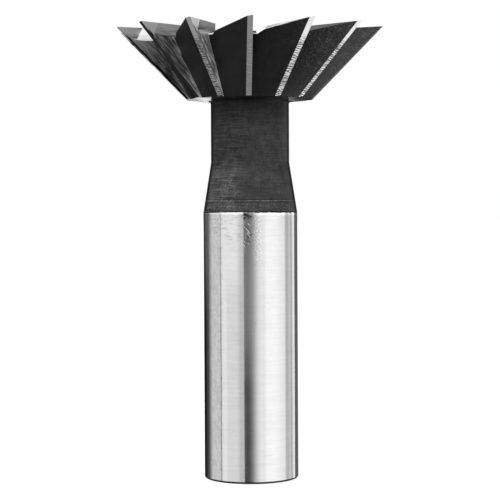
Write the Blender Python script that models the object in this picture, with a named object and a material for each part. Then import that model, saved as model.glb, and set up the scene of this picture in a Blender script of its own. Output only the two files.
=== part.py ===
"""Dovetail cutter with a plain shank: one turned blank, fluted into 14 teeth.

Metres, +Z up. The origin is the centre of the shank's end face and the tool
stands on it, with its cutting end up. The tooth that faces the front is on -Y.
A tooth's own frame has x along its radius, y along its direction of cut and z
up, and its cutting edges lie in the plane y = 0.
"""

import math

import bmesh
import bpy
from mathutils import Matrix, Vector

MM = 0.001

# Turned form
overall_length = 76.3 * MM
shank_diameter = 16.0 * MM
shank_length = 45.2 * MM
shank_chamfer = 0.2 * MM
taper_length = 8.5 * MM
neck_diameter = 13.3 * MM
neck_fillet = 0.5 * MM
cutter_diameter = 45.6 * MM
head_height = 11.85 * MM
dovetail_angle = math.radians(45.0)
underside_angle = math.radians(5.5)
recess_diameter = 26.6 * MM
recess_depth = 3.0 * MM
recess_fillet = 0.6 * MM

# Centre holes, one in each end
centre_hole_mouth = 4.2 * MM
centre_hole_pilot = 2.0 * MM
centre_hole_depth = 4.6 * MM
centre_hole_angle = math.radians(60.0)
drill_point_angle = math.radians(118.0)

# Teeth on the cone
tooth_count = 14
front_tooth_turn = math.radians(1.5)
land_width = 0.9 * MM
land_relief = math.radians(8.0)
gullet_radius_at_gash = 16.2 * MM
gullet_depth_at_gash = 2.3 * MM
gullet_angle = math.radians(31.3)

# Teeth on the end face
end_dish = math.radians(1.3)
end_land_width = 0.9 * MM
end_relief = math.radians(7.0)
end_slope_angle = math.radians(20.5)
end_slope_rise = math.radians(2.0)
end_relief_stop = 0.3 * MM

# The wheel that grinds the gash in front of each end tooth
gash_wheel_diameter = 26.0 * MM
gash_wheel_seat = 18.0 * MM
gash_depth = 2.42 * MM
gash_floor_width = 0.85 * MM
gash_riser_angle = math.radians(32.7)
gash_corner = 0.35 * MM
gash_lean = math.radians(1.0)
gash_start_radius = 19.2 * MM
gash_start_slant = math.radians(26.6)

# How finely round stretches are drawn, and how far a cutter passes its work
round_steps = 96
fillet_steps = 4
wheel_steps = 72
corner_steps = 3
back_steps = 6
stock = 0.5 * MM
clear = 1.0 * MM
cutter_reach = cutter_diameter / 2 + 4 * clear

cutter_radius = cutter_diameter / 2
head_bottom = overall_length - head_height
small_end_radius = cutter_radius - head_height * math.tan(dovetail_angle)
tooth_pitch = 2 * math.pi / tooth_count


def new_object(name, mesh_data, material=None):
    """Make an object of a bmesh, in the scene."""
    mesh = bpy.data.meshes.new(name)
    mesh_data.to_mesh(mesh)
    mesh_data.free()
    if material:
        mesh.materials.append(material)
    obj = bpy.data.objects.new(name, mesh)
    bpy.context.scene.collection.objects.link(obj)
    return obj


def steel(name):
    """Blackened tool steel, the colour that most of the tool shows."""
    material = bpy.data.materials.new(name)
    material.use_nodes = True
    shader = material.node_tree.nodes["Principled BSDF"]
    shader.inputs["Base Color"].default_value = (0.16, 0.16, 0.17, 1)
    shader.inputs["Roughness"].default_value = 0.4
    shader.inputs["Metallic"].default_value = 1.0
    return material


def arc(centre, radius, start, end, steps):
    """Points (r, z) of an arc round a centre, from one angle to another."""
    points = []
    for i in range(steps + 1):
        angle = start + (end - start) * i / steps
        points.append((centre[0] + radius * math.cos(angle), centre[1] + radius * math.sin(angle)))
    return points


def centre_hole(face, inwards):
    """Points (r, z) of a centre hole, from the axis out to its mouth on a face."""
    mouth = centre_hole_mouth / 2
    pilot = centre_hole_pilot / 2
    cone_depth = (mouth - pilot) / math.tan(centre_hole_angle / 2)
    point_depth = pilot / math.tan(drill_point_angle / 2)
    return [
        (0, face + inwards * (centre_hole_depth + point_depth)),
        (pilot, face + inwards * centre_hole_depth),
        (pilot, face + inwards * cone_depth),
        (mouth, face),
    ]


def blank_profile():
    """The blank's outline (r, z), from the axis at its top to the axis at its foot.

    The head has stock left on its cone and its end, for the teeth to be cut from.
    """
    recess_floor = overall_length - recess_depth
    recess_radius = recess_diameter / 2
    recess_corner = (recess_radius - recess_fillet, recess_floor + recess_fillet)
    raw_top = overall_length + stock
    raw_cone = cutter_radius + stock + stock * math.tan(dovetail_angle)
    raw_small_end = raw_cone - (raw_top - head_bottom) * math.tan(dovetail_angle)

    neck_radius = neck_diameter / 2
    shank_radius = shank_diameter / 2
    underside_drop = (small_end_radius - neck_radius - neck_fillet) * math.tan(underside_angle)
    rim_rise = (raw_small_end - small_end_radius) * math.tan(underside_angle)
    fillet_centre = (neck_radius + neck_fillet, head_bottom - underside_drop - neck_fillet)
    fillet_start = math.pi / 2

    profile = centre_hole(recess_floor, -1)
    profile += arc(recess_corner, recess_fillet, -math.pi / 2, 0, fillet_steps)
    profile += [(recess_radius, raw_top), (raw_cone, raw_top)]
    profile += [(raw_small_end, head_bottom + rim_rise)]
    profile += arc(fillet_centre, neck_fillet, fillet_start, math.pi, fillet_steps)
    profile += [(neck_radius, shank_length + taper_length), (shank_radius, shank_length)]
    profile += [(shank_radius, shank_chamfer), (shank_radius - shank_chamfer, 0)]
    profile += reversed(centre_hole(0, 1))
    return profile


def turned(profile, steps):
    """Turn a profile (r, z) round the Z axis into a closed form."""
    bm = bmesh.new()
    verts = [bm.verts.new((r, 0, z)) for r, z in profile]
    edges = [bm.edges.new(pair) for pair in zip(verts, verts[1:])]
    bmesh.ops.spin(
        bm,
        geom=verts + edges,
        cent=(0, 0, 0),
        axis=(0, 0, 1),
        angle=2 * math.pi,
        steps=steps,
        use_merge=True,
    )
    bmesh.ops.remove_doubles(bm, verts=bm.verts, dist=0.001 * MM)
    bmesh.ops.recalc_face_normals(bm, faces=bm.faces)
    return bm


def flute_section(depth):
    """One flute's outline at a depth under the end plane, in its tooth's frame.

    It takes off the land's relief and the tooth's black back, down to the gullet,
    which lies in the rake face of the tooth behind.
    """
    edge = cutter_radius - depth * math.tan(dovetail_angle)
    gullet = gullet_radius_at_gash - (depth - gullet_depth_at_gash) * math.tan(gullet_angle)
    behind = Vector((math.cos(tooth_pitch), -math.sin(tooth_pitch)))
    return [
        Vector((edge + clear * math.tan(land_relief), clear)),
        Vector((edge - land_width * math.tan(land_relief), -land_width)),
        behind * gullet,
        behind * cutter_reach,
        Vector((cutter_reach, clear)),
    ]


def flute_cutter():
    """The solid that a flute takes out of the blank, for the tooth at angle 0."""
    bm = bmesh.new()
    top = -stock - clear
    bottom = head_height + clear
    rings = []
    for i in range(back_steps + 1):
        depth = top + (bottom - top) * i / back_steps
        rings.append([bm.verts.new((p.x, p.y, overall_length - depth)) for p in flute_section(depth)])
    for upper, lower in zip(rings, rings[1:]):
        for i in range(len(upper)):
            j = (i + 1) % len(upper)
            bm.faces.new((upper[i], upper[j], lower[j], lower[i]))
    bm.faces.new(rings[0])
    bm.faces.new(rings[-1])
    bmesh.ops.triangulate(bm, faces=bm.faces)
    bmesh.ops.recalc_face_normals(bm, faces=bm.faces)
    return bm


def end_relief_cutter():
    """The solid that the end grinding takes out, for the tooth at angle 0.

    It forms the end land and the slope behind it. The land falls towards the axis
    and the slope rises, so the land widens inwards. The cutter stops short of the
    next rake face, where the gash wheel takes over.
    """
    rise_over_land = math.tan(end_slope_rise) + math.tan(end_dish)
    fall_over_land = math.tan(end_slope_angle) - math.tan(end_relief)
    top = stock + clear
    bm = bmesh.new()
    ends = []
    for x in (recess_diameter / 4, cutter_reach):
        inward = cutter_radius - x
        dish = inward * math.tan(end_dish)
        heel = end_land_width + inward * rise_over_land / fall_over_land
        heel_drop = dish + heel * math.tan(end_relief)
        far_drop = heel_drop + (cutter_reach - heel) * math.tan(end_slope_angle)
        section = [
            (clear, clear * math.tan(end_relief) - dish),
            (-heel, -heel_drop),
            (-cutter_reach, -far_drop),
            (-cutter_reach, top),
            (clear, top),
        ]
        ends.append([bm.verts.new((x, y, overall_length + z)) for y, z in section])
    inner, outer = ends
    for i in range(len(inner)):
        j = (i + 1) % len(inner)
        bm.faces.new((inner[i], inner[j], outer[j], outer[i]))
    bm.faces.new(inner)
    bm.faces.new(outer)
    bmesh.ops.recalc_face_normals(bm, faces=bm.faces)

    along_cut = Vector((math.sin(tooth_pitch), math.cos(tooth_pitch), 0))
    cut = bmesh.ops.bisect_plane(
        bm,
        geom=bm.verts[:] + bm.edges[:] + bm.faces[:],
        plane_co=along_cut * end_relief_stop,
        plane_no=along_cut,
        clear_inner=True,
    )
    rim = [e for e in cut["geom_cut"] if isinstance(e, bmesh.types.BMEdge)]
    bmesh.ops.edgenet_fill(bm, edges=rim)
    bmesh.ops.triangulate(bm, faces=bm.faces)
    bmesh.ops.recalc_face_normals(bm, faces=bm.faces)
    return bm


def gash_wheel():
    """The wheel that grinds the end gash, for the tooth at angle 0.

    Its flat side makes the gash's wall, its rim the floor and its bevelled side the
    riser. It stands against the rake face of the tooth behind and leans into it,
    from a slanting line near the tip inwards.
    """
    wheel_radius = gash_wheel_diameter / 2
    bevel_depth = gash_depth + stock
    bevel_end = gash_floor_width + bevel_depth / math.tan(gash_riser_angle)
    rim_corner = (wheel_radius - gash_corner, gash_corner)
    profile = [(0, 0)]
    profile += arc(rim_corner, gash_corner, -math.pi / 2, 0, corner_steps)
    profile += [(wheel_radius, gash_floor_width), (wheel_radius - bevel_depth, bevel_end), (0, bevel_end)]
    bm = turned(profile, wheel_steps)

    axis_along_cut = Matrix.Rotation(-math.pi / 2, 4, "X")
    seat = Matrix.Translation((gash_wheel_seat, 0, overall_length - gash_depth + wheel_radius))
    start = Matrix.Translation((gash_start_radius, 0, overall_length))
    slant = Vector((math.sin(gash_start_slant), 0, -math.cos(gash_start_slant)))
    lean = start @ Matrix.Rotation(-gash_lean, 4, slant) @ start.inverted()
    behind = Matrix.Rotation(-tooth_pitch, 4, "Z")
    bm.transform(behind @ lean @ seat @ axis_along_cut)
    return bm


def place_cutters(name, shape):
    """Copy a cutter round the axis, one for each tooth, into a collection."""
    group = bpy.data.collections.new(name)
    bpy.context.scene.collection.children.link(group)
    first = new_object(f"{name}_0", shape)
    for k in range(tooth_count):
        cutter = first if k == 0 else bpy.data.objects.new(f"{name}_{k}", first.data)
        turn = front_tooth_turn - math.pi / 2 + k * tooth_pitch
        cutter.matrix_world = Matrix.Rotation(turn, 4, "Z")
        for owner in list(cutter.users_collection):
            owner.objects.unlink(cutter)
        group.objects.link(cutter)
        cutter.hide_render = True
        cutter.display_type = "WIRE"
    return group


def cut_away(obj, group):
    """Take a collection of cutters out of an object."""
    cut = obj.modifiers.new(group.name, "BOOLEAN")
    cut.operation = "DIFFERENCE"
    cut.operand_type = "COLLECTION"
    cut.collection = group
    cut.solver = "EXACT"


def main():
    for obj in list(bpy.data.objects):
        bpy.data.objects.remove(obj)
    blank = turned(blank_profile(), round_steps)
    cutter = new_object("dovetail_cutter", blank, steel("blackened_steel"))
    cut_away(cutter, place_cutters("flutes", flute_cutter()))
    cut_away(cutter, place_cutters("end_reliefs", end_relief_cutter()))
    cut_away(cutter, place_cutters("end_gashes", gash_wheel()))
    cutter.data.shade_smooth()
    cutter.data.set_sharp_from_angle(angle=math.radians(25))


main()
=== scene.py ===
"""The looks of the dovetail cutter: its fine mesh, its finishes, the light and the camera.

Metres, +Z up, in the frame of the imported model. The tool stands on its shank's
end, and the tooth that faces the front is on -Y. A tooth's own frame has x along
its radius, y along its direction of cut and z up.
"""

import math

import bmesh
import bpy
from mathutils import Matrix, Vector


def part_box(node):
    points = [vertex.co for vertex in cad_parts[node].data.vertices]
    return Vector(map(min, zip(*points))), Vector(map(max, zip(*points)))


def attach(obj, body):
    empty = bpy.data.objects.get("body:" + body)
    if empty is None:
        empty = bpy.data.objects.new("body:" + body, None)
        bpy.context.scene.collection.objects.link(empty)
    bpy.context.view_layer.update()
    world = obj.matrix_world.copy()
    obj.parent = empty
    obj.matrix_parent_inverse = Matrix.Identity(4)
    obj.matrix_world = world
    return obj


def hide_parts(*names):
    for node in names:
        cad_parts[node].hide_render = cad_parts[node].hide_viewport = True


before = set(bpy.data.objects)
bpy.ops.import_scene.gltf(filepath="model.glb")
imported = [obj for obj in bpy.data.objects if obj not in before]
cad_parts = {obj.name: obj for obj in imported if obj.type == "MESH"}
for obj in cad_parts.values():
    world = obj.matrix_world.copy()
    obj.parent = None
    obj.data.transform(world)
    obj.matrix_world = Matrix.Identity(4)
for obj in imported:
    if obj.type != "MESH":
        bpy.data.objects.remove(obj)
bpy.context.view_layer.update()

MM = 0.001

# The tool's sizes, as the solid has them
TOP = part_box("dovetail_cutter")[1].z
CUTTER_RADIUS = 22.8 * MM
HEAD_HEIGHT = 11.85 * MM
DOVETAIL_ANGLE = math.radians(45.0)
UNDERSIDE_ANGLE = math.radians(5.5)
RECESS_RADIUS = 13.3 * MM
RECESS_DEPTH = 3.0 * MM
RECESS_FILLET = 0.6 * MM
NECK_RADIUS = 6.65 * MM
NECK_FILLET = 0.5 * MM
SHANK_RADIUS = 8.0 * MM
SHANK_LENGTH = 45.2 * MM
SHANK_CHAMFER = 0.2 * MM
TAPER_LENGTH = 8.5 * MM
CENTRE_HOLE_MOUTH = 2.1 * MM
CENTRE_HOLE_PILOT = 1.0 * MM
CENTRE_HOLE_DEPTH = 4.6 * MM
CENTRE_HOLE_ANGLE = math.radians(60.0)
DRILL_POINT_ANGLE = math.radians(118.0)

TOOTH_COUNT = 14
TOOTH_PITCH = 2 * math.pi / TOOTH_COUNT
FRONT_TOOTH_TURN = math.radians(1.5)
LAND_WIDTH = 0.9 * MM
LAND_RELIEF = math.radians(8.0)
GULLET_RADIUS = 16.2 * MM
GULLET_DEPTH = 2.3 * MM
GULLET_ANGLE = math.radians(31.3)

END_DISH = math.radians(1.3)
END_LAND_WIDTH = 0.9 * MM
END_RELIEF = math.radians(7.0)
END_SLOPE_ANGLE = math.radians(20.5)
END_SLOPE_RISE = math.radians(2.0)
GASH_WHEEL_RADIUS = 13.0 * MM
GASH_WHEEL_SEAT = 18.0 * MM
GASH_DEPTH = 2.42 * MM
GASH_FLOOR_WIDTH = 0.85 * MM
GASH_RISER_ANGLE = math.radians(32.7)
GASH_CORNER = 0.35 * MM
GASH_LEAN = math.radians(1.0)
GASH_START_RADIUS = 19.2 * MM
GASH_START_SLANT = math.radians(26.6)
END_RELIEF_STOP = 0.3 * MM

SMALL_END_RADIUS = CUTTER_RADIUS - HEAD_HEIGHT * math.tan(DOVETAIL_ANGLE)
HEAD_BOTTOM = TOP - HEAD_HEIGHT
GULLET_TOP_RADIUS = GULLET_RADIUS + GULLET_DEPTH * math.tan(GULLET_ANGLE)

# How finely the mesh is drawn, and the bend past which an edge of it shows
ROUND_STEPS = 192
FILLET_STEPS = 16
BACK_STEPS = 24
BACK_COLUMNS = 8
CORNER_STEPS = 12
WHEEL_STEPS = 128
SHARP_ANGLE = math.radians(8.0)

# The stock left on the blank, how far a cutter passes its work, and how far out it reaches
STOCK = 0.5 * MM
CLEAR = 1.0 * MM
CUTTER_REACH = CUTTER_RADIUS + 4 * CLEAR

# Painted light: the rake faces and gash walls are painted brighter or darker tooth by tooth.
# The brightest tooth is given by its number, and the tone of the rake faces and the strength of
# the lands' cross marks turn by these angles from tooth to tooth.
BRIGHTEST_TOOTH = 13
PAINTED_TOOTH_LIGHT_STEP = math.pi / 2
TICK_STEP = 9 * math.pi / 13

# The cross marks on a land, to a millimetre
TICKS = 2.4

# A point belongs to the tooth whose rake face is less than this share of the pitch ahead of it
OWN_SHARE = 0.1

# The line where an end gash starts moves outwards by this much for each step down, and the
# tip's finish ends this far outside it on the gash's wall, in millimetres
GASH_START_RUN = 0.5
TIP_ON_WALL = -0.8

# The ragged lower edge of the black oxide, in millimetres: its height at the front, how far it
# wanders, and how much it drops for each millimetre round to the right
OXIDE_EDGE = SHANK_LENGTH / MM - 0.17
OXIDE_EDGE_WANDER = 0.5
OXIDE_EDGE_SLOPE = -0.0145

# Where the marks and the painted shade on the turned body lie, in millimetres. Heights are on
# the tool, and places round it are on its skin, from the front towards the right. A pair gives
# the two sides of a mark, or where it begins and where it is full.
FOOT_LINE = SHANK_CHAMFER / MM + 0.14
BRIGHT_RIM = (-0.42, -0.30)
SMUDGE_HEIGHTS = (37.0, 43.5)
SMUDGE_ROUND = (0.8, -0.2)
MOTTLE_ROUND = (-4.6, -5.4)
STAIN_HEIGHTS = (38.0, 44.8)
STAIN_ROUND = (-1.5, 0.7)
# Painted shade: the shank's steel is painted darker low on its left.
PAINTED_SHADE_HEIGHTS = (37.0, 30.0)
PAINTED_SHADE_ROUND = (-4.6, -0.9)
SPECKLE_HEIGHTS = (34.5, 40.0)
SPECKLE_ROUND = (-0.2, 2.2)
SCUFF_HEIGHTS = (38.5, 44.6)
SCUFF_ROUND = (-1.4, 0.1)
SCRATCH_HEIGHTS = (45.0, 52.5)
SCRATCH_ROUND = (-6.5, -2.5)
SCRATCH_TURN = 0.9
SCRIBED_RING = 47.22
WORN_LEFT_HEIGHTS = (55.0, 51.5)
WORN_LEFT_ROUND = (-1.0, -4.2)
PALE_RIGHT_ROUND = (-1.0, 5.0)
LINES_ROUND = (1.0, -4.0)
# Painted shade: the taper's and neck's oxide is painted darker upwards, towards the head.
TAPER_PAINTED_SHADE = (55.5, 51.0)
NECK_PAINTED_SHADE = (64.5, 58.5)

# Values that several finishes share, and the gloss of the two black ones
BLACK_LINE_TONE = 0.004
BAR_SPECULAR = 0.15
BLACKENED_SPECULAR = 0.3

# How far apart two seeds lie in the grinding lines' noise
SEED_STEP = 7.3

# The camera at the photograph's viewpoint
CAMERA_LENS = 119.44
CAMERA_SENSOR = 36.0
CAMERA_PLACE = Vector((0, -282.96, 47.73)) * MM
CAMERA_LOOK_DOWN = math.radians(1.806)
CAMERA_YAW = math.radians(0.019)
CAMERA_ROLL = math.radians(-0.28)

# The studio floor: its reach, its gap under the tool, its grey and its glow
FLOOR_SIZE = 3.0
FLOOR_DROP = 0.05 * MM
FLOOR_GREY = 0.5
FLOOR_GLOW = 0.78

# The light panels of the studio, all in degrees: turn from the front towards the right
# (from, to, and the softness of each side), rise (low, high, softness of each), brightness
ROOM_LIGHT = 0.015
LIGHT_PANELS = [
    (-172, -138, 6, 6, -3, 3, 3, 3, 0.04),
    (-144, -120, 12, 10, -3, 3, 3, 3, 0.13),
    (-140, -120, 12, 10, -26, -3, 10, 3, 0.06),
    (-118, -79.6, 24, 2, -26, 3, 10, 3, 0.80),
    (-77.4, -30, 2, 14, -26, 3, 10, 3, 0.30),
    (-81, -76, 1, 1, -3, 3, 2, 3, 0.2),
    (-77.4, -17, 2, 1, -26, 3, 10, 3, 0.75),
    (-17, -1, 2, 9, -26, 3, 10, 3, 0.07),
    (-17, 4, 1, 14, -5.4, 3, 0.8, 3, 0.10),
    (-17, 4, 1, 14, -5.4, -1.8, 0.8, 1, 0.08),
    (9, 96, 34, 14, -26, 3, 10, 3, 1.07),
    (36, 74, 10, 34, -26, 3, 10, 3, 0.20),
    (98, 135.4, 6, 2, -26, 6.3, 10, 0.3, 0.54),
    (105, 114, 5, 5, -26, 6.3, 10, 0.3, 0.2),
    (123, 135.4, 6, 2, -26, 6.3, 10, 0.3, 0.52),
    (136, 168, 2, 6, -26, 3, 10, 3, 0.12),
    (178.3, 183, 1.5, 2, -12, -3, 3, 2, 1.6),
    (178, 200, 8, 14, -40, -19, 4, 6, 0.8),
    (36, 150, 6, 20, 6.3, 13, 0.3, 4, 0.2),
    (5, 118, 10, 2, 4, 6.3, 2, 0.3, 0.2),
    (-40, 34, 20, 4, 6.3, 14, 0.3, 6, 3.0),
    (-110, 55, 30, 12, 14, 60, 6, 30, 1.0),
    (144, 166, 3, 4, 12, 56, 4, 6, 1.3),
    (168, 192, 10, 10, 9, 22, 3, 6, 1.2),
    (-174, -118, 6, 20, 18, 44, 4, 8, 1.1),
    (-180, 180, 1, 1, 62, 90, 10, 1, 0.8),
    (75, 145, 20, 14, -86, -34, 8, 10, 1.05),
    (-10, 70, 20, 20, -72, -36, 8, 12, 0.25),
    (150, 222, 14, 14, -74, -48, 10, 6, 0.5),
    (-180, 180, 1, 1, -90, -78, 1, 8, 0.25),
    (-130, -20, 20, 20, -78, -36, 8, 12, 0.34),
]

# The finish of each face, by the number that the mesh carries
BAR, BLACKENED, LAND, RAKE, GASH, LIP, SLOPE, BORE, UNDERSIDE = range(9)


def arc(centre, radius, start, end, steps):
    """Points (r, z) of an arc round a centre, from one angle to another."""
    points = []
    for i in range(steps + 1):
        angle = start + (end - start) * i / steps
        points.append((centre[0] + radius * math.cos(angle), centre[1] + radius * math.sin(angle)))
    return points


def centre_hole(face, inwards):
    """Points (r, z) of a centre hole, from the axis out to its mouth on a face."""
    cone_depth = (CENTRE_HOLE_MOUTH - CENTRE_HOLE_PILOT) / math.tan(CENTRE_HOLE_ANGLE / 2)
    point_depth = CENTRE_HOLE_PILOT / math.tan(DRILL_POINT_ANGLE / 2)
    return [
        (0, face + inwards * (CENTRE_HOLE_DEPTH + point_depth)),
        (CENTRE_HOLE_PILOT, face + inwards * CENTRE_HOLE_DEPTH),
        (CENTRE_HOLE_PILOT, face + inwards * cone_depth),
        (CENTRE_HOLE_MOUTH, face),
    ]


def blank_runs():
    """The blank's outline as runs of points (r, z), each with the finish that leads to them."""
    recess_floor = TOP - RECESS_DEPTH
    recess_corner = (RECESS_RADIUS - RECESS_FILLET, recess_floor + RECESS_FILLET)
    raw_top = TOP + STOCK
    raw_cone = CUTTER_RADIUS + STOCK + STOCK * math.tan(DOVETAIL_ANGLE)
    raw_small_end = raw_cone - (raw_top - HEAD_BOTTOM) * math.tan(DOVETAIL_ANGLE)
    underside_drop = (SMALL_END_RADIUS - NECK_RADIUS - NECK_FILLET) * math.tan(UNDERSIDE_ANGLE)
    rim_rise = (raw_small_end - SMALL_END_RADIUS) * math.tan(UNDERSIDE_ANGLE)
    fillet_centre = (NECK_RADIUS + NECK_FILLET, HEAD_BOTTOM - underside_drop - NECK_FILLET)
    recess = arc(recess_corner, RECESS_FILLET, -math.pi / 2, 0, FILLET_STEPS)
    body = arc(fillet_centre, NECK_FILLET, math.pi / 2, math.pi, FILLET_STEPS)
    body += [(NECK_RADIUS, SHANK_LENGTH + TAPER_LENGTH), (SHANK_RADIUS, SHANK_LENGTH)]
    body += [(SHANK_RADIUS, SHANK_CHAMFER)]
    return [
        (BORE, centre_hole(recess_floor, -1)),
        (BLACKENED, recess + [(RECESS_RADIUS, raw_top), (raw_cone, raw_top)]),
        (BLACKENED, [(raw_small_end, HEAD_BOTTOM + rim_rise)]),
        (UNDERSIDE, body[:1]),
        (BAR, body[1:]),
        (BLACKENED, [(SHANK_RADIUS - SHANK_CHAMFER, 0)]),
        (BAR, [(CENTRE_HOLE_MOUTH, 0)]),
        (BORE, centre_hole(0, 1)[-2::-1]),
    ]


def mark(bm):
    """The layer that holds each face's finish."""
    return bm.faces.layers.int.get("finish") or bm.faces.layers.int.new("finish")


def to_object(name, bm):
    """Make an object of a bmesh, in the scene."""
    mesh = bpy.data.meshes.new(name)
    bm.to_mesh(mesh)
    bm.free()
    obj = bpy.data.objects.new(name, mesh)
    bpy.context.scene.collection.objects.link(obj)
    return obj


def turned_faces(bm, near, far):
    """The faces between two rings of a turned shape, either of which may be a point on the axis."""
    steps = max(len(near), len(far))
    faces = []
    for i in range(steps):
        j = (i + 1) % steps
        corners = [near[i % len(near)], far[i % len(far)], far[j % len(far)], near[j % len(near)]]
        faces.append(bm.faces.new(list(dict.fromkeys(corners))))
        faces[-1].smooth = True
    return faces


def turned_blank():
    """The blank, turned round the Z axis, with stock left on its head."""
    bm = bmesh.new()
    layer = mark(bm)
    rings = []
    finishes = []
    for finish, points in blank_runs():
        for r, z in points:
            if r == 0:
                ring = [bm.verts.new((0, 0, z))]
            else:
                turns = (2 * math.pi * i / ROUND_STEPS for i in range(ROUND_STEPS))
                ring = [bm.verts.new((r * math.cos(a), r * math.sin(a), z)) for a in turns]
            rings.append(ring)
            finishes.append(finish)
    for upper, lower, finish in zip(rings, rings[1:], finishes[1:]):
        for face in turned_faces(bm, upper, lower):
            face[layer] = finish
    bmesh.ops.recalc_face_normals(bm, faces=bm.faces)
    return to_object("cutter_blank", bm)


def flute_section(depth):
    """One flute's outline at a depth under the end plane, in its tooth's frame."""
    edge = CUTTER_RADIUS - depth * math.tan(DOVETAIL_ANGLE)
    gullet = GULLET_RADIUS - (depth - GULLET_DEPTH) * math.tan(GULLET_ANGLE)
    behind = Vector((math.cos(TOOTH_PITCH), -math.sin(TOOTH_PITCH)))
    heel = Vector((edge - LAND_WIDTH * math.tan(LAND_RELIEF), -LAND_WIDTH))
    back = [heel.lerp(behind * gullet, i / BACK_COLUMNS) for i in range(BACK_COLUMNS + 1)]
    return (
        [Vector((edge + CLEAR * math.tan(LAND_RELIEF), CLEAR))]
        + back
        + [behind * CUTTER_REACH, Vector((CUTTER_REACH, CLEAR))]
    )


def flute_cutter():
    """What a flute takes out: the land's relief, the back and the rake face behind it."""
    side_finish = [LAND] + [BLACKENED] * BACK_COLUMNS + [RAKE, BLACKENED, BLACKENED]
    bm = bmesh.new()
    layer = mark(bm)
    top = -STOCK - CLEAR
    bottom = HEAD_HEIGHT + CLEAR
    rings = []
    for i in range(BACK_STEPS + 1):
        depth = top + (bottom - top) * i / BACK_STEPS
        rings.append([bm.verts.new((p.x, p.y, TOP - depth)) for p in flute_section(depth)])
    for upper, lower in zip(rings, rings[1:]):
        for i in range(len(upper)):
            j = (i + 1) % len(upper)
            face = bm.faces.new((upper[i], upper[j], lower[j], lower[i]))
            face[layer] = side_finish[i]
    bm.faces.new(rings[0])
    bm.faces.new(rings[-1])
    bmesh.ops.triangulate(bm, faces=bm.faces)
    bmesh.ops.recalc_face_normals(bm, faces=bm.faces)
    for face in bm.faces:
        face.smooth = True
    return to_object("flute_cutter", bm)


def end_relief_cutter():
    """What the end grinding takes out: the end land and the slope behind it.

    The land falls towards the axis and the slope rises, so the land widens inwards.
    It stops short of the next rake face, where the gash takes over.
    """
    rise_over_land = math.tan(END_SLOPE_RISE) + math.tan(END_DISH)
    fall_over_land = math.tan(END_SLOPE_ANGLE) - math.tan(END_RELIEF)
    bm = bmesh.new()
    layer = mark(bm)
    ends = []
    for x in (RECESS_RADIUS / 2, CUTTER_REACH):
        inward = CUTTER_RADIUS - x
        heel = END_LAND_WIDTH + inward * rise_over_land / fall_over_land
        dish = inward * math.tan(END_DISH)
        heel_drop = dish + heel * math.tan(END_RELIEF)
        far_drop = heel_drop + (CUTTER_REACH - heel) * math.tan(END_SLOPE_ANGLE)
        section = [
            (CLEAR, CLEAR * math.tan(END_RELIEF) - dish),
            (-heel, -heel_drop),
            (-CUTTER_REACH, -far_drop),
            (-CUTTER_REACH, STOCK + CLEAR),
            (CLEAR, STOCK + CLEAR),
        ]
        ends.append([bm.verts.new((x, y, TOP + z)) for y, z in section])
    inner, outer = ends
    for i in range(len(inner)):
        j = (i + 1) % len(inner)
        bm.faces.new((inner[i], inner[j], outer[j], outer[i]))
    bm.faces.new(inner)
    bm.faces.new(outer)
    bmesh.ops.recalc_face_normals(bm, faces=bm.faces)

    along_cut = Vector((math.sin(TOOTH_PITCH), math.cos(TOOTH_PITCH), 0))
    cut = bmesh.ops.bisect_plane(
        bm,
        geom=bm.verts[:] + bm.edges[:] + bm.faces[:],
        plane_co=along_cut * END_RELIEF_STOP,
        plane_no=along_cut,
        clear_inner=True,
    )
    rim = [e for e in cut["geom_cut"] if isinstance(e, bmesh.types.BMEdge)]
    bmesh.ops.edgenet_fill(bm, edges=rim)
    bmesh.ops.triangulate(bm, faces=bm.faces)
    bmesh.ops.recalc_face_normals(bm, faces=bm.faces)
    for face in bm.faces:
        face[layer] = SLOPE
    return to_object("end_relief_cutter", bm)


def gash_wheel():
    """The wheel that grinds an end gash: its flat side makes the wall and its rim the floor.

    It leans into the rake face of the tooth behind, from a slanting line near the
    tip inwards.
    """
    rim_corner = (GASH_CORNER, GASH_WHEEL_RADIUS - GASH_CORNER)
    corner = arc(rim_corner, GASH_CORNER, math.pi, math.pi / 2, CORNER_STEPS)
    bevel_depth = GASH_DEPTH + STOCK
    bevel_end = GASH_FLOOR_WIDTH + bevel_depth / math.tan(GASH_RISER_ANGLE)
    profile = [(0, 0)] + corner + [(GASH_FLOOR_WIDTH, GASH_WHEEL_RADIUS)]
    profile += [(bevel_end, GASH_WHEEL_RADIUS - bevel_depth), (bevel_end, 0)]
    bm = bmesh.new()
    layer = mark(bm)
    rings = []
    for w, r in profile:
        if r == 0:
            rings.append([bm.verts.new((0, w, 0))])
        else:
            turns = (2 * math.pi * i / WHEEL_STEPS for i in range(WHEEL_STEPS))
            rings.append([bm.verts.new((r * math.sin(a), w, -r * math.cos(a))) for a in turns])
    for n, (near, far) in enumerate(zip(rings, rings[1:])):
        for face in turned_faces(bm, near, far):
            face[layer] = GASH if n == 0 else LIP
    bmesh.ops.recalc_face_normals(bm, faces=bm.faces)
    seat = Matrix.Translation((GASH_WHEEL_SEAT, 0, TOP - GASH_DEPTH + GASH_WHEEL_RADIUS))
    start = Matrix.Translation((GASH_START_RADIUS, 0, TOP))
    slant = Vector((math.sin(GASH_START_SLANT), 0, -math.cos(GASH_START_SLANT)))
    lean = start @ Matrix.Rotation(-GASH_LEAN, 4, slant) @ start.inverted()
    bm.transform(Matrix.Rotation(-TOOTH_PITCH, 4, "Z") @ lean @ seat)
    return to_object("gash_wheel", bm)


def new_socket(tree, name, kind, side="INPUT", value=None):
    """Add a named input or output to a node group."""
    socket = tree.interface.new_socket(name, in_out=side, socket_type="NodeSocket" + kind)
    if value is not None:
        socket.default_value = value
    return socket


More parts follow.
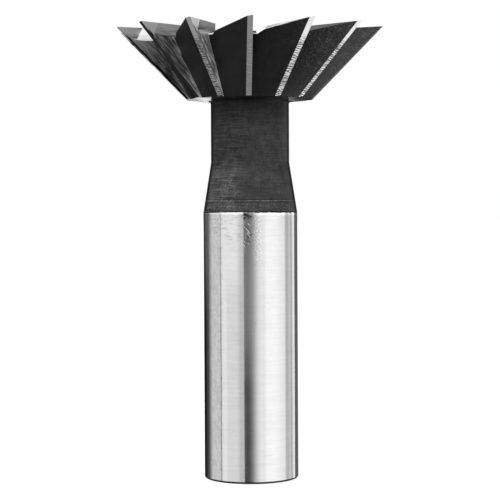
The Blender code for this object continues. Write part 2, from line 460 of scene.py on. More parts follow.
def toothed_head_tree(materials):
    """Geometry Nodes that pattern the three cutters round the axis and cut them out of the blank."""
    tree = bpy.data.node_groups.new("Toothed head", "GeometryNodeTree")
    new_socket(tree, "Blank", "Geometry")
    new_socket(tree, "Flute cutter", "Object")
    new_socket(tree, "End relief cutter", "Object")
    new_socket(tree, "Gash wheel", "Object")
    new_socket(tree, "Teeth", "Int", value=TOOTH_COUNT)
    new_socket(tree, "First tooth turn", "Float", value=0.0)
    new_socket(tree, "Cutter", "Geometry", side="OUTPUT")
    nodes, link = tree.nodes, tree.links.new
    given, made = nodes.new("NodeGroupInput"), nodes.new("NodeGroupOutput")

    pitch = nodes.new("ShaderNodeMath")
    pitch.operation = "DIVIDE"
    pitch.inputs[0].default_value = 2 * math.pi
    link(given.outputs["Teeth"], pitch.inputs[1])
    turn = nodes.new("ShaderNodeMath")
    turn.operation = "MULTIPLY_ADD"
    link(nodes.new("GeometryNodeInputIndex").outputs[0], turn.inputs[0])
    link(pitch.outputs[0], turn.inputs[1])
    link(given.outputs["First tooth turn"], turn.inputs[2])
    about_z = nodes.new("ShaderNodeCombineXYZ")
    link(turn.outputs[0], about_z.inputs["Z"])
    centre = nodes.new("GeometryNodePoints")
    link(given.outputs["Teeth"], centre.inputs["Count"])

    shape = given.outputs["Blank"]
    for name in ("Flute cutter", "End relief cutter", "Gash wheel"):
        tool = nodes.new("GeometryNodeObjectInfo")
        link(given.outputs[name], tool.inputs["Object"])
        ring = nodes.new("GeometryNodeInstanceOnPoints")
        link(centre.outputs[0], ring.inputs["Points"])
        link(tool.outputs["Geometry"], ring.inputs["Instance"])
        link(about_z.outputs[0], ring.inputs["Rotation"])
        cut = nodes.new("GeometryNodeMeshBoolean")
        cut.operation = "DIFFERENCE"
        cut.solver = "EXACT"
        link(shape, cut.inputs["Mesh 1"])
        link(ring.outputs[0], cut.inputs["Mesh 2"])
        shape = cut.outputs["Mesh"]

    whole = nodes.new("GeometryNodeRealizeInstances")
    link(shape, whole.inputs[0])
    shape = whole.outputs[0]
    finish = nodes.new("GeometryNodeInputNamedAttribute")
    finish.data_type = "INT"
    finish.inputs["Name"].default_value = "finish"
    for number, material in enumerate(materials):
        same = nodes.new("FunctionNodeCompare")
        same.data_type = "INT"
        same.operation = "EQUAL"
        link(finish.outputs["Attribute"], same.inputs[2])
        same.inputs[3].default_value = number
        dress = nodes.new("GeometryNodeSetMaterial")
        dress.inputs["Material"].default_value = material
        link(shape, dress.inputs["Geometry"])
        link(same.outputs[0], dress.inputs["Selection"])
        shape = dress.outputs[0]
    link(shape, made.inputs[0])
    return tree


def set_input(modifier, name, value):
    """Set a Geometry Nodes modifier's input by its name on the tree."""
    for item in modifier.node_group.interface.items_tree:
        if item.in_out == "INPUT" and item.name == name:
            modifier[item.identifier] = value


def make_cutter(materials):
    """The whole tool as one mesh: the blank with its flutes, end slopes and end gashes cut."""
    blank = turned_blank()
    flute = flute_cutter()
    relief = end_relief_cutter()
    wheel = gash_wheel()
    cut = blank.modifiers.new("Toothed head", "NODES")
    cut.node_group = toothed_head_tree(materials)
    set_input(cut, "Flute cutter", flute)
    set_input(cut, "End relief cutter", relief)
    set_input(cut, "Gash wheel", wheel)
    set_input(cut, "Teeth", TOOTH_COUNT)
    set_input(cut, "First tooth turn", FRONT_TOOTH_TURN - math.pi / 2)
    evaluated = blank.evaluated_get(bpy.context.evaluated_depsgraph_get())
    mesh = bpy.data.meshes.new_from_object(evaluated)
    mesh.name = "cutter_body"
    for helper in (blank, flute, relief, wheel):
        bpy.data.objects.remove(helper)
    mesh.shade_smooth()
    mesh.set_sharp_from_angle(angle=SHARP_ANGLE)
    cutter = bpy.data.objects.new("cutter_body", mesh)
    bpy.context.scene.collection.objects.link(cutter)
    return cutter


def add(tree, kind, inputs=None, **settings):
    """Add a node, set its properties, and link or set its inputs."""
    node = tree.nodes.new(kind)
    for name, value in settings.items():
        setattr(node, name, value)
    for key, value in (inputs or {}).items():
        if isinstance(value, bpy.types.NodeSocket):
            tree.links.new(value, node.inputs[key])
        else:
            node.inputs[key].default_value = value
    return node


def maths(tree, operation, *values):
    """One sum on sockets or numbers."""
    return add(tree, "ShaderNodeMath", dict(enumerate(values)), operation=operation).outputs[0]


def product(tree, *values):
    """Sockets and numbers multiplied together."""
    result = values[0]
    for value in values[1:]:
        result = maths(tree, "MULTIPLY", result, value)
    return result


def hypotenuse(tree, x, y):
    """The third side to two sides at a right angle."""
    return maths(tree, "SQRT", maths(tree, "ADD", product(tree, x, x), product(tree, y, y)))


def ramp(tree, value, start, end, low=0.0, high=1.0):
    """Carry a value smoothly from one range to another, held at both ends."""
    inputs = {"Value": value, "From Min": start, "From Max": end, "To Min": low, "To Max": high}
    return add(tree, "ShaderNodeMapRange", inputs, interpolation_type="SMOOTHSTEP").outputs["Result"]


def grade(tree, share, low, high):
    """Carry a share from 0 to 1 smoothly to a range of its own."""
    return ramp(tree, share, 0.0, 1.0, low, high)


def window(tree, value, start, end, soft):
    """1 between two values and 0 outside them, with soft ends."""
    return product(tree, ramp(tree, value, start, start + soft), ramp(tree, value, end, end - soft))


def mix(tree, share, first, second):
    """Blend from a first value to a second by a share."""
    return add(tree, "ShaderNodeMix", {0: share, 2: first, 3: second}, data_type="FLOAT").outputs[0]


def vector(tree, x, y, z):
    """A vector of three sockets or numbers."""
    return add(tree, "ShaderNodeCombineXYZ", {"X": x, "Y": y, "Z": z}).outputs[0]


def stretched(tree, place, x, y):
    """A place multiplied along its first two sides, so that noise on it is drawn out."""
    return add(tree, "ShaderNodeVectorMath", {0: place, 1: (x, y, 1.0)}, operation="MULTIPLY").outputs[0]


def slanted(tree, place, turn, length, width):
    """A place turned and scaled, so that noise on it makes streaks of a length and width."""
    inputs = {"Vector": place, "Rotation": (0, 0, turn), "Scale": (length, width, 1)}
    return add(tree, "ShaderNodeMapping", inputs, vector_type="TEXTURE").outputs[0]


def noise(tree, place, scale, detail=2.0, roughness=0.5, distortion=0.0):
    """Cloudy noise from 0 to 1 at a place, so many lumps to its unit."""
    inputs = {"Vector": place, "Scale": scale, "Detail": detail, "Roughness": roughness}
    return add(tree, "ShaderNodeTexNoise", inputs | {"Distortion": distortion}).outputs[0]


def use(tree, group, **inputs):
    """Place a shader group and give back its outputs."""
    named = {name.replace("_", " ").capitalize(): value for name, value in inputs.items()}
    return add(tree, "ShaderNodeGroup", named, node_tree=group).outputs


def grinding(tree, place, lines, length, seed):
    """Grinding lines on a place, so many to a millimetre of its Y, each of a length along its X."""
    return use(tree, GROUPS["Grinding lines"], place=place, lines=lines, length=length, seed=seed)["Lines"]


def new_group(name, inputs, outputs):
    """A shader group with named inputs, each a kind and a value, and named outputs."""
    tree = bpy.data.node_groups.new(name, "ShaderNodeTree")
    for label, (kind, value) in inputs.items():
        new_socket(tree, label, kind, value=value)
    for label, kind in outputs.items():
        new_socket(tree, label, kind, side="OUTPUT")
    return tree, tree.nodes.new("NodeGroupInput").outputs, tree.nodes.new("NodeGroupOutput").inputs


def object_millimetres(tree):
    """Object coordinates in millimetres: the vector and its three parts."""
    place = add(tree, "ShaderNodeTexCoord").outputs["Object"]
    scaled = add(tree, "ShaderNodeVectorMath", {0: place, "Scale": 1 / MM}, operation="SCALE").outputs[0]
    parts = add(tree, "ShaderNodeSeparateXYZ", {0: scaled}).outputs
    return scaled, parts["X"], parts["Y"], parts["Z"]


def place_on_bar_group():
    """Group: height on the tool, and its turned skin rolled out flat, in millimetres."""
    outputs = {"Height": "Float", "Round": "Float", "Rolled out": "Vector"}
    tree, _, out = new_group("Place on bar", {}, outputs)
    _, x, y, z = object_millimetres(tree)
    turn = maths(tree, "ARCTAN2", x, product(tree, y, -1.0))
    rolled = product(tree, turn, SHANK_RADIUS / MM)
    link = tree.links.new
    link(z, out["Height"])
    link(rolled, out["Round"])
    link(vector(tree, rolled, z, hypotenuse(tree, x, y)), out["Rolled out"])
    return tree


def place_on_tooth_group():
    """Group: where a point lies on its tooth, in millimetres.

    Along runs down the cutting edge from the tip, Inward goes from the edge towards
    the tool's axis on the rake face, and Across goes in the direction of cut.
    """
    names = ("Tooth", "Along", "Inward", "Across", "Radius", "Depth")
    tree, _, out = new_group("Place on tooth", {}, dict.fromkeys(names, "Float"))
    link = tree.links.new
    _, x, y, z = object_millimetres(tree)
    first_turn = FRONT_TOOTH_TURN - math.pi / 2
    turn = maths(tree, "SUBTRACT", maths(tree, "ARCTAN2", y, x), first_turn)
    pitches = maths(tree, "DIVIDE", turn, TOOTH_PITCH)
    tooth = maths(tree, "CEIL", maths(tree, "SUBTRACT", pitches, OWN_SHARE))
    around = maths(tree, "MULTIPLY_ADD", tooth, TOOTH_PITCH, first_turn)
    cos, sin = maths(tree, "COSINE", around), maths(tree, "SINE", around)
    radius = maths(tree, "ADD", product(tree, x, cos), product(tree, y, sin))
    across = maths(tree, "SUBTRACT", product(tree, y, cos), product(tree, x, sin))
    depth = maths(tree, "SUBTRACT", TOP / MM, z)
    inset = maths(tree, "SUBTRACT", CUTTER_RADIUS / MM, radius)
    slope = math.sin(DOVETAIL_ANGLE)
    link(maths(tree, "WRAP", tooth, TOOTH_COUNT, 0), out["Tooth"])
    link(product(tree, maths(tree, "ADD", inset, depth), slope), out["Along"])
    link(product(tree, maths(tree, "SUBTRACT", inset, depth), slope), out["Inward"])
    link(across, out["Across"])
    link(radius, out["Radius"])
    link(depth, out["Depth"])
    return tree


def grinding_lines_group():
    """Group: fine lines that run along X, so many to a millimetre of Y, broken after a length."""
    inputs = {
        "Place": ("Vector", (0, 0, 0)),
        "Lines": ("Float", 4.0),
        "Length": ("Float", 3.0),
        "Seed": ("Float", 0.0),
    }
    tree, given, out = new_group("Grinding lines", inputs, {"Lines": "Float"})
    parts = add(tree, "ShaderNodeSeparateXYZ", {0: given["Place"]}).outputs
    run = maths(tree, "DIVIDE", parts["X"], given["Length"])
    step = product(tree, parts["Y"], given["Lines"])
    lines = noise(tree, vector(tree, run, step, product(tree, given["Seed"], SEED_STEP)), 1.0, 2.0, 0.6)
    tree.links.new(ramp(tree, lines, 0.3, 0.7), out["Lines"])
    return tree


def specks_group():
    """Group: small scattered spots, so many to a millimetre, on a share of their places."""
    inputs = {
        "Place": ("Vector", (0, 0, 0)),
        "Fineness": ("Float", 3.0),
        "Share": ("Float", 0.3),
        "Size": ("Float", 0.3),
    }
    tree, given, out = new_group("Specks", inputs, {"Specks": "Float"})
    cells = add(tree, "ShaderNodeTexVoronoi", {"Vector": given["Place"], "Scale": given["Fineness"]}).outputs
    pick = add(tree, "ShaderNodeSeparateColor", {0: cells["Color"]}).outputs
    chosen = maths(tree, "LESS_THAN", pick[0], given["Share"])
    size = product(tree, given["Size"], maths(tree, "ADD", 0.5, pick[1]))
    spot = maths(tree, "SUBTRACT", 1.0, maths(tree, "DIVIDE", cells["Distance"], size))
    strength = maths(tree, "MULTIPLY_ADD", pick[2], 0.6, 0.4)
    tree.links.new(product(tree, ramp(tree, spot, 0.0, 0.6), chosen, strength), out["Specks"])
    return tree


def black_oxide_group():
    """Group: black oxide's depth of colour, dullness and grain, with specks where it is thin."""
    inputs = {"Place": ("Vector", (0, 0, 0)), "Tone": ("Float", 0.012), "Specks": ("Float", 1.0)}
    outputs = {"Colour": "Float", "Roughness": "Float", "Height": "Float"}
    tree, given, out = new_group("Black oxide", inputs, outputs)
    clouds = noise(tree, given["Place"], 0.6, 3.0, 0.6)
    grain = noise(tree, given["Place"], 5.0, 2.0, 0.7)
    blotches = noise(tree, given["Place"], 2.6, 3.0, 0.8)
    spots = use(tree, GROUPS["Specks"], place=given["Place"], fineness=3.2, share=0.22, size=0.34)["Specks"]
    marks_and_painted_light = product(tree, spots, given["Specks"], ramp(tree, clouds, 0.38, 0.62, 0.25, 1.0))
    mottled = product(tree, ramp(tree, blotches, 0.48, 0.68), given["Specks"])
    thin = maths(tree, "MULTIPLY_ADD", marks_and_painted_light, 0.06, product(tree, mottled, 0.022))
    tone = product(
        tree,
        given["Tone"],
        ramp(tree, clouds, 0.3, 0.7, 0.75, 1.3),
        ramp(tree, grain, 0.3, 0.7, 0.7, 1.35),
    )
    tree.links.new(maths(tree, "ADD", thin, tone), out["Colour"])
    tree.links.new(ramp(tree, grain, 0.3, 0.7, 0.30, 0.44), out["Roughness"])
    tree.links.new(maths(tree, "ADD", grain, marks_and_painted_light), out["Height"])
    return tree


def new_material(name):
    """A material, with its node tree and its Principled shader."""
    material = bpy.data.materials.new(name)
    material.use_nodes = True
    tree = material.node_tree
    return material, tree, tree.nodes["Principled BSDF"]


def raise_skin(tree, shader, height, depth):
    """Let a height of 0 to 1 stand up from the surface by a depth."""
    bump = add(tree, "ShaderNodeBump", {"Height": height, "Distance": depth})
    tree.links.new(bump.outputs[0], shader.inputs["Normal"])


def set_skin(tree, shader, colour, roughness, metallic):
    """Link or set the shader's colour, roughness and metal."""
    for name, value in (("Base Color", colour), ("Roughness", roughness), ("Metallic", metallic)):
        if isinstance(value, bpy.types.NodeSocket):
            tree.links.new(value, shader.inputs[name])
        elif name == "Base Color":
            shader.inputs[name].default_value = (value, value, value, 1)
        else:
            shader.inputs[name].default_value = value


def dull_marks(tree, place):
    """How dull the shank's marks make it, its smudges alone, and how much of a place is stained."""
    height, round_, skin = place["Height"], place["Round"], place["Rolled out"]
    waves = noise(tree, stretched(tree, skin, 0.55, 1.6), 1.1, 3.0, distortion=1.2)
    smudge = product(
        tree,
        ramp(tree, waves, 0.52, 0.66),
        ramp(tree, height, *SMUDGE_HEIGHTS, 0.10, 1.0),
        ramp(tree, round_, *SMUDGE_ROUND, 0.12, 1.0),
    )
    spots = use(tree, GROUPS["Specks"], place=skin, fineness=1.3, share=0.08, size=0.13)["Specks"]
    dull = maths(tree, "MULTIPLY_ADD", smudge, 0.2, product(tree, spots, 0.4))
    drawn = noise(tree, stretched(tree, skin, 1.0, 0.4), 1.8, 3.0, 0.7)
    mottle = product(tree, ramp(tree, drawn, 0.35, 0.68), ramp(tree, round_, *MOTTLE_ROUND, 0.02, 0.17))
    stain = ramp(tree, noise(tree, skin, 0.9, 4.0, 0.7), 0.50, 0.60)
    near_top = ramp(tree, height, *STAIN_HEIGHTS, 0.0, 0.85)
    stained = product(tree, window(tree, round_, *STAIN_ROUND, 0.5), near_top)
    dull = maths(tree, "MULTIPLY_ADD", stain, stained, maths(tree, "ADD", dull, mottle))
    return maths(tree, "MINIMUM", dull, 0.95), smudge, stained


def scuff_marks(tree, place):
    """Short pale scuffs that slant across the front of the shank."""
    streaks = noise(tree, slanted(tree, place["Rolled out"], -SCRATCH_TURN, 1.6, 0.3), 1.0, 2.0, 0.6)
    return product(
        tree,
        window(tree, place["Round"], *SCUFF_ROUND, 0.3),
        window(tree, place["Height"], *SCUFF_HEIGHTS, 1.5),
        ramp(tree, streaks, 0.55, 0.63),
    )


def ground_steel(tree, place, above, grain, scuff):
    """The shank's colour and roughness: fine rings under smudges, a stain, speckle and scuffs, and painted
    shade low on its left.
    """
    height, round_, skin = place["Height"], place["Round"], place["Rolled out"]
    rings = grinding(tree, skin, 3.0, 5.0, 1.0)
    clouds = noise(tree, skin, 0.35, 3.0, 0.6)
    dull, smudge, stained = dull_marks(tree, place)
    # Painted shade: the steel is painted darker low on the left of the shank.
    low = ramp(tree, height, *PAINTED_SHADE_HEIGHTS)
    painted_shade_low_left = product(tree, window(tree, round_, *PAINTED_SHADE_ROUND, 0.8), low)
    high = ramp(tree, height, *SPECKLE_HEIGHTS, 0.0, 1.4)
    speckled = product(tree, window(tree, round_, *SPECKLE_ROUND, 0.9), high)
    steel = product(
        tree,
        grade(tree, rings, 0.71, 0.735),
        ramp(tree, clouds, 0.3, 0.7, 0.98, 1.02),
        maths(tree, "SUBTRACT", 1.0, dull),
        maths(tree, "MULTIPLY_ADD", painted_shade_low_left, -0.13, 1.0),
        maths(tree, "MULTIPLY_ADD", maths(tree, "SUBTRACT", grain, 0.5), speckled, 1.0),
    )
    steel = mix(tree, product(tree, scuff, 0.7), steel, 0.9)
    rim = product(tree, ramp(tree, above, *BRIGHT_RIM), maths(tree, "SUBTRACT", 1.0, stained))
    shine = maths(tree, "MULTIPLY_ADD", smudge, 0.08, ramp(tree, clouds, 0.3, 0.7, 0.08, 0.11))
    return mix(tree, rim, steel, 0.98), shine


def oxide_tone(tree, place, above, left):
    """Black oxide's tone up the taper and the neck, painted darker towards the head as painted shade, with
    turning lines and painted dark outlines.
    """
    height, round_ = place["Height"], place["Round"]
    turned = grinding(tree, place["Rolled out"], 4.2, 5.0, 3.0)
    # Painted shade: the oxide is painted darker up the taper and neck, towards the head.
    on_neck = ramp(tree, height, *NECK_PAINTED_SHADE, 0.002, 0.025)
    on_taper = ramp(tree, height, *TAPER_PAINTED_SHADE, 0.0, 0.012)
    depth = grade(tree, ramp(tree, round_, *LINES_ROUND), 0.35, 1.1)
    right = ramp(tree, round_, *PALE_RIGHT_ROUND)
    # Painted shade: the colour darkens where the surface turns away from the view, as dark outlines.
    facing = add(tree, "ShaderNodeLayerWeight", {"Blend": 0.5}).outputs["Facing"]
    return product(
        tree,
        maths(tree, "ADD", on_neck, on_taper),
        maths(tree, "MULTIPLY_ADD", maths(tree, "SUBTRACT", turned, 0.5), depth, 1.0),
        maths(tree, "MULTIPLY_ADD", left, 0.6, maths(tree, "MULTIPLY_ADD", right, 0.3, 1.0)),
        ramp(tree, above, 0.05, 0.4, 0.05, 1.0),
        ramp(tree, facing, 0.62, 0.74, 1.0, 0.05),
    )


def scribed_ring(tree, height, ragged):
    """The bright ring scribed round the taper, and the painted shade of a groove on each side of it."""
    from_ring = maths(tree, "ABSOLUTE", maths(tree, "SUBTRACT", height, SCRIBED_RING))
    ring = product(tree, ramp(tree, from_ring, 0.11, 0.03), ramp(tree, ragged, 0.35, 0.6, 0.3, 1.0))
    # Painted shade of a groove, darker on each side of the ring.
    from_groove = maths(tree, "ABSOLUTE", maths(tree, "SUBTRACT", from_ring, 0.22))
    return ring, ramp(tree, from_groove, 0.12, 0.04)


def crossed_scratches(tree, place):
    """Thin scratches that slant across the left of the taper."""
    streaks = noise(tree, slanted(tree, place["Rolled out"], SCRATCH_TURN, 1.0, 0.16), 1.0, 1.0, 0.5)
    return product(
        tree,
        ramp(tree, streaks, 0.60, 0.70),
        window(tree, place["Round"], *SCRATCH_ROUND, 1.5),
        window(tree, place["Height"], *SCRATCH_HEIGHTS, 1.5),
    )


def bar_oxide(tree, place, above, ragged):
    """The taper's and neck's black oxide: its colour, roughness and height."""
    height = place["Height"]
    left = product(tree, ramp(tree, place["Round"], *WORN_LEFT_ROUND), ramp(tree, height, *WORN_LEFT_HEIGHTS))
    below_ring = ramp(tree, height, SCRIBED_RING + 0.05, SCRIBED_RING - 0.05)
    specks = grade(tree, maths(tree, "MAXIMUM", left, below_ring), 0.5, 2.4)
    tone = oxide_tone(tree, place, above, left)
    oxide = use(tree, GROUPS["Black oxide"], place=place["Rolled out"], tone=tone, specks=specks)
    ring, painted_groove_shade = scribed_ring(tree, height, ragged)
    shaded = product(tree, oxide["Colour"], maths(tree, "MULTIPLY_ADD", painted_groove_shade, -0.5, 1.0))
    marks = maths(tree, "MULTIPLY_ADD", ring, 0.08, product(tree, crossed_scratches(tree, place), 0.12))
    return maths(tree, "ADD", shaded, marks), oxide["Roughness"], oxide["Height"]


def bar_finish():
    """The turned body: a ground shank, and black oxide from its taper up."""
    material, tree, shader = new_material("turned bar")
    shader.inputs["Specular IOR Level"].default_value = BAR_SPECULAR
    place = use(tree, GROUPS["Place on bar"])
    ragged = noise(tree, place["Rolled out"], 1.2, 3.0, 0.6)
    grain = noise(tree, place["Rolled out"], 4.0, 1.0, 0.6)
    edge = maths(tree, "MULTIPLY_ADD", ragged, OXIDE_EDGE_WANDER, OXIDE_EDGE)
    edge = maths(tree, "MULTIPLY_ADD", place["Round"], OXIDE_EDGE_SLOPE, edge)
    above = maths(tree, "SUBTRACT", place["Height"], edge)
    scuff = scuff_marks(tree, place)
    steel, shine = ground_steel(tree, place, above, grain, scuff)
    oxide, oxide_roughness, oxide_height = bar_oxide(tree, place, above, ragged)

    black = ramp(tree, above, -0.04, 0.04)
    foot = ramp(tree, place["Height"], FOOT_LINE + 0.06, FOOT_LINE - 0.06)
    colour = mix(tree, foot, mix(tree, black, steel, oxide), BLACK_LINE_TONE)
    roughness = mix(tree, black, shine, oxide_roughness)
    metal = maths(tree, "SUBTRACT", 1.0, maths(tree, "MAXIMUM", black, product(tree, scuff, 0.45)))
    set_skin(tree, shader, colour, roughness, metal)
    raise_skin(tree, shader, mix(tree, black, product(tree, grain, 0.3), oxide_height), 0.004 * MM)
    return material


def underside_finish():
    """The head's turned underside, dark but shiny."""
    material, tree, shader = new_material("turned underside")
    skin = use(tree, GROUPS["Place on bar"])["Rolled out"]
    rings = grinding(tree, skin, 3.0, 4.0, 2.0)
    set_skin(tree, shader, grade(tree, rings, 0.12, 0.45), grade(tree, rings, 0.24, 0.16), 1.0)
    raise_skin(tree, shader, rings, 0.001 * MM)
    return material


def blackened_finish():
    """Black oxide on the tooth backs, in the recess and on the shank's chamfer, painted lighter and more
    speckled to the right as painted light.
    """
    material, tree, shader = new_material("black oxide")
    shader.inputs["Specular IOR Level"].default_value = BLACKENED_SPECULAR
    place, x, _, _ = object_millimetres(tree)
    # Painted light: the oxide's colour and its specks are painted stronger towards +X, the side the light
    # falls on.
    tone = ramp(tree, x, 6.0, 20.0, 0.004, 0.022)
    specks = ramp(tree, x, 4.0, 14.0, 0.15, 1.8)
    oxide = use(tree, GROUPS["Black oxide"], place=place, tone=tone, specks=specks)
    set_skin(tree, shader, oxide["Colour"], oxide["Roughness"], 0.0)
    raise_skin(tree, shader, oxide["Height"], 0.03 * MM)
    return material


def tooth_tone(tree, tooth, step):
    """A share from 0 to 1 for each tooth by its number, highest on the brightest tooth; the rake faces and
    gash walls take it as painted light, the lands as the strength of their cross marks.
    """
    turn = product(tree, maths(tree, "SUBTRACT", tooth, BRIGHTEST_TOOTH), step)
    return maths(tree, "MULTIPLY_ADD", maths(tree, "COSINE", turn), 0.5, 0.5)


def land_finish():
    """The ground strip behind each cutting edge, with short marks across it."""
    material, tree, shader = new_material("ground land")
    at = use(tree, GROUPS["Place on tooth"])
    place = vector(tree, at["Across"], at["Along"], 0.0)
    lines = grinding(tree, place, 4.6, 0.9, at["Tooth"])
    waver = product(tree, noise(tree, place, 0.8, 2.0, 0.6), 9.0)
    wave = maths(tree, "SINE", maths(tree, "MULTIPLY_ADD", at["Along"], 2 * math.pi * TICKS, waver))
    ticks = ramp(tree, maths(tree, "MULTIPLY_ADD", wave, 0.35, lines), 0.1, 0.9)
    depth = grade(tree, tooth_tone(tree, at["Tooth"], TICK_STEP), 0.45, 1.3)
    marked = product(tree, ramp(tree, at["Along"], 3.0, 6.0, 0.1, 1.0), depth)
    dip = product(tree, maths(tree, "SUBTRACT", 1.0, ticks), marked)
    set_skin(tree, shader, ramp(tree, dip, 0.0, 1.3, 0.80, 0.12), ramp(tree, dip, 0.0, 1.3, 0.16, 0.28), 1.0)
    raise_skin(tree, shader, product(tree, ticks, marked), 0.012 * MM)
    return material


def from_gash_line(tree, at):
    """How far outside the slanting line where the end gash starts a point of a tooth lies."""
    line = maths(tree, "MULTIPLY_ADD", at["Depth"], GASH_START_RUN, GASH_START_RADIUS / MM)
    return maths(tree, "SUBTRACT", at["Radius"], line)


def streaked_rake(tree, at, tone, fine):
    """The rake face's colour: streaks along the tooth, darker high up, and paler near the tip, each tooth
    painted brighter or darker as painted light.
    """
    broad = grinding(tree, vector(tree, at["Along"], at["Inward"], 0.0), 0.9, 6.0, at["Tooth"])
    streaks = product(tree, maths(tree, "POWER", fine, 1.6), maths(tree, "ADD", broad, 0.3))
    dull = product(
        tree,
        grade(tree, streaks, 0.035, 0.45),
        maths(tree, "MULTIPLY_ADD", product(tree, tone, tone), 2.9, 0.5),
        ramp(tree, at["Depth"], 2.5, 6.5, 0.72, 1.0),
    )
    near_tip = product(tree, ramp(tree, at["Depth"], 6.5, 1.5), ramp(tree, at["Inward"], 5.0, 0.5))
    from_middle = maths(tree, "ABSOLUTE", maths(tree, "SUBTRACT", tone, 0.5))
    return maths(tree, "MULTIPLY_ADD", near_tip, ramp(tree, from_middle, 0.1, 0.5, 0.03, 0.2), dull)


def painted_corner_highlight(tree, at, tone, fine):
    """The corner with the next tooth's back, bright as a painted highlight at its top and towards its foot.
    """
    gullet = maths(tree, "MULTIPLY_ADD", at["Depth"], -math.tan(GULLET_ANGLE), GULLET_TOP_RADIUS / MM)
    from_gullet = maths(tree, "SUBTRACT", at["Radius"], gullet)
    low = product(
        tree,
        ramp(tree, from_gullet, 0.8, 0.15),
        ramp(tree, at["Depth"], 5.5, 9.5),
        grade(tree, tone, 0.3, 1.0),
    )
    high = product(tree, ramp(tree, from_gullet, 0.3, 0.15), ramp(tree, at["Depth"], 5.5, 3.5))
    return product(tree, maths(tree, "MAXIMUM", low, high), grade(tree, fine, 0.35, 1.0))


def painted_edge_shade(tree, at, tone, tip):
    """A black line painted along the cutting edge as painted shade, below the tip and on the darker teeth."""
    along = product(tree, ramp(tree, at["Inward"], 0.34, 0.2), ramp(tree, at["Depth"], 0.8, 2.2))
    return product(tree, along, maths(tree, "MAXIMUM", ramp(tree, tone, 0.5, 0.1, 0.0, 1.0), tip))


def rake_finish():
    """The face in front of each cutting edge: dull, streaked lengthwise, ground bright at the tip, and
    painted brighter or darker tooth by tooth as painted light.
    """
    material, tree, shader = new_material("rake face")
    at = use(tree, GROUPS["Place on tooth"])
    fine = grinding(tree, vector(tree, at["Along"], at["Inward"], 0.0), 5.0, 2.6, at["Tooth"])
    # Painted light: this tone paints each tooth's rake face brighter or darker, in its streaks, its bright
    # tip, its corner highlight and its edge line.
    tone = tooth_tone(tree, at["Tooth"], PAINTED_TOOTH_LIGHT_STEP)
    tip = product(tree, ramp(tree, from_gash_line(tree, at), -0.25, 0.1), ramp(tree, at["Depth"], 4.0, 2.0))
    # Painted highlight along the corner with the next tooth's back.
    corner_highlight = painted_corner_highlight(tree, at, tone, fine)
    # Painted shade: a black line along the cutting edge.
    line = painted_edge_shade(tree, at, tone, tip)
    dull = mix(tree, corner_highlight, streaked_rake(tree, at, tone, fine), 0.85)
    ground = maths(tree, "MULTIPLY_ADD", tone, 0.5, 0.22)
    colour = mix(tree, line, mix(tree, tip, dull, ground), BLACK_LINE_TONE)
    metal = mix(tree, line, mix(tree, maths(tree, "MAXIMUM", tip, corner_highlight), 0.6, 0.3), 1.0)
    set_skin(tree, shader, colour, mix(tree, tip, 0.38, 0.2), metal)
    raise_skin(tree, shader, product(tree, fine, maths(tree, "SUBTRACT", 1.0, tip)), 0.004 * MM)
    return material


def gash_finish():
    """The wall of an end gash, ground with faint lines along the wheel's path."""
    material, tree, shader = new_material("ground gash")
    at = use(tree, GROUPS["Place on tooth"])
    across = maths(tree, "SUBTRACT", at["Radius"], GASH_WHEEL_SEAT / MM)
    rise = maths(tree, "ADD", at["Depth"], (GASH_WHEEL_RADIUS - GASH_DEPTH) / MM)
    path = vector(tree, across, hypotenuse(tree, across, rise), 0.0)
    arcs = grinding(tree, path, 2.6, 5.0, at["Tooth"])
    tone = tooth_tone(tree, at["Tooth"], PAINTED_TOOTH_LIGHT_STEP)

    # Painted light: on the darkest teeth the wall is painted near white, as if brightly lit, except
    # where their tip's finish runs onto it, where it is grey; on the other teeth its grinding arcs
    # are painted darker the brighter the tooth.
    painted_lit_teeth = ramp(tree, tone, 0.45, 0.0)
    inside = ramp(tree, from_gash_line(tree, at), TIP_ON_WALL + 0.08, TIP_ON_WALL - 0.08)
    painted_lit_wall = product(tree, painted_lit_teeth, inside)
    marks_and_painted_light = product(tree, grade(tree, arcs, 0.42, 0.60), ramp(tree, tone, 0.5, 1.0, 1.0, 0.42))
    colour = mix(tree, painted_lit_wall, mix(tree, painted_lit_teeth, marks_and_painted_light, 0.22), 0.98)
    set_skin(tree, shader, colour, grade(tree, arcs, 0.14, 0.10), mix(tree, painted_lit_wall, 0.6, 0.1))
    raise_skin(tree, shader, arcs, 0.0006 * MM)
    return material


def lip_finish():
    """The floor, corner and riser of an end gash: bright, with fine cross marks."""
    material, tree, shader = new_material("gash floor")
    at = use(tree, GROUPS["Place on tooth"])
    place = vector(tree, at["Radius"], at["Across"], at["Depth"])
    marks = grinding(tree, place, 3.0, 2.0, at["Tooth"])
    set_skin(tree, shader, grade(tree, marks, 0.75, 0.92), grade(tree, marks, 0.26, 0.2), 1.0)
    raise_skin(tree, shader, marks, 0.002 * MM)
    return material


def slope_finish():
    """The end land and the slope behind it, ground with lines across the tooth."""
    material, tree, shader = new_material("ground end")
    at = use(tree, GROUPS["Place on tooth"])
    place = vector(tree, at["Across"], at["Radius"], 0.0)
    marks = grinding(tree, place, 2.8, 1.6, at["Tooth"])
    set_skin(tree, shader, grade(tree, marks, 0.36, 0.80), grade(tree, marks, 0.34, 0.22), 1.0)
    raise_skin(tree, shader, marks, 0.003 * MM)
    return material


def bore_finish():
    """The centre holes, drilled and left with the drill's rings."""
    material, tree, shader = new_material("drilled hole")
    skin = use(tree, GROUPS["Place on bar"])["Rolled out"]
    rings = grinding(tree, skin, 5.0, 8.0, 5.0)
    set_skin(tree, shader, grade(tree, rings, 0.12, 0.3), grade(tree, rings, 0.45, 0.3), 1.0)
    raise_skin(tree, shader, rings, 0.004 * MM)
    return material


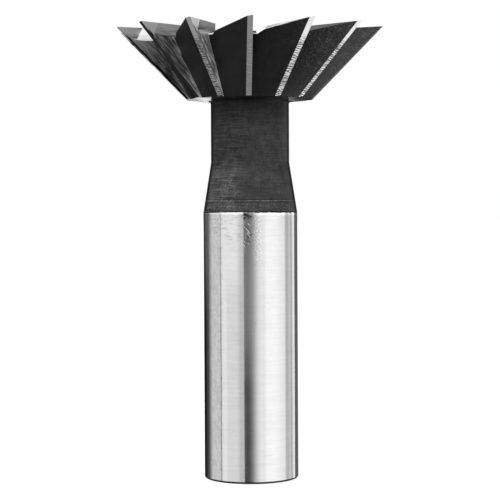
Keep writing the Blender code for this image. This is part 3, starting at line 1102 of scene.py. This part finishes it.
def light_panel_group():
    """Group: how bright one soft-edged light panel is in a direction, in degrees."""
    names = ("Turn", "Rise", "From", "To", "Soft from", "Soft to")
    names += ("Low", "High", "Soft low", "Soft high", "Brightness")
    tree, given, out = new_group("Light panel", {name: ("Float", 0.0) for name in names}, {"Light": "Float"})
    middle = product(tree, maths(tree, "ADD", given["From"], given["To"]), 0.5)
    reach = maths(tree, "SUBTRACT", given["To"], middle)
    offset = maths(tree, "WRAP", maths(tree, "SUBTRACT", given["Turn"], middle), 180.0, -180.0)

    def side(value, bound, softness, outward):
        half = product(tree, softness, 0.5 * outward)
        return ramp(tree, value, maths(tree, "ADD", bound, half), maths(tree, "SUBTRACT", bound, half))

    light = product(
        tree,
        given["Brightness"],
        side(offset, reach, given["Soft to"], 1),
        side(offset, product(tree, reach, -1.0), given["Soft from"], -1),
        side(given["Rise"], given["High"], given["Soft high"], 1),
        side(given["Rise"], given["Low"], given["Soft low"], -1),
    )
    tree.links.new(light, out["Light"])
    return tree


def surround():
    """White to the camera; to everything else a dark room with soft light panels."""
    world = bpy.data.worlds.new("studio")
    bpy.context.scene.world = world
    world.use_nodes = True
    tree = world.node_tree
    direction = add(tree, "ShaderNodeTexCoord").outputs["Generated"]
    parts = add(tree, "ShaderNodeSeparateXYZ", {0: direction}).outputs
    front = product(tree, parts["Y"], -1.0)
    turn = maths(tree, "DEGREES", maths(tree, "ARCTAN2", parts["X"], front))
    rise = maths(tree, "DEGREES", maths(tree, "ARCSINE", parts["Z"]))
    panel = light_panel_group()
    light = ROOM_LIGHT
    for row in LIGHT_PANELS:
        inputs = dict(enumerate((turn, rise) + row))
        light = maths(tree, "ADD", add(tree, "ShaderNodeGroup", inputs, node_tree=panel).outputs[0], light)
    seen = add(tree, "ShaderNodeLightPath").outputs["Is Camera Ray"]
    tree.links.new(mix(tree, seen, light, 1.0), tree.nodes["Background"].inputs["Color"])


def studio():
    """A pale floor that glows evenly under the tool, and the surround."""
    bm = bmesh.new()
    bmesh.ops.create_grid(bm, x_segments=1, y_segments=1, size=FLOOR_SIZE)
    floor = to_object("floor", bm)
    floor.location.z = -FLOOR_DROP
    material, tree, shader = new_material("studio floor")
    set_skin(tree, shader, FLOOR_GREY, 1.0, 0.0)
    shader.inputs["Emission Color"].default_value = (1, 1, 1, 1)
    shader.inputs["Emission Strength"].default_value = FLOOR_GLOW
    floor.data.materials.append(material)
    floor.visible_glossy = False
    surround()


def camera():
    """The photograph's viewpoint, looking slightly down."""
    data = bpy.data.cameras.new("camera")
    data.lens = CAMERA_LENS
    data.sensor_width = CAMERA_SENSOR
    obj = bpy.data.objects.new("camera", data)
    bpy.context.scene.collection.objects.link(obj)
    yaw = Matrix.Rotation(CAMERA_YAW, 4, "Z")
    tilt = Matrix.Rotation(math.pi / 2 - CAMERA_LOOK_DOWN, 4, "X")
    roll = Matrix.Rotation(CAMERA_ROLL, 4, "Z")
    obj.matrix_world = Matrix.Translation(CAMERA_PLACE) @ yaw @ tilt @ roll
    bpy.context.scene.camera = obj


bpy.context.scene.view_settings.view_transform = "Standard"
camera()
studio()
group_makers = [
    place_on_bar_group,
    place_on_tooth_group,
    grinding_lines_group,
    specks_group,
    black_oxide_group,
]
GROUPS = {}
for make_group in group_makers:
    group = make_group()
    GROUPS[group.name] = group
finishes = [
    bar_finish(),
    blackened_finish(),
    land_finish(),
    rake_finish(),
    gash_finish(),
    lip_finish(),
    slope_finish(),
    bore_finish(),
    underside_finish(),
]
cutter = make_cutter(finishes)
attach(cutter, "root")
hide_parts("dovetail_cutter")
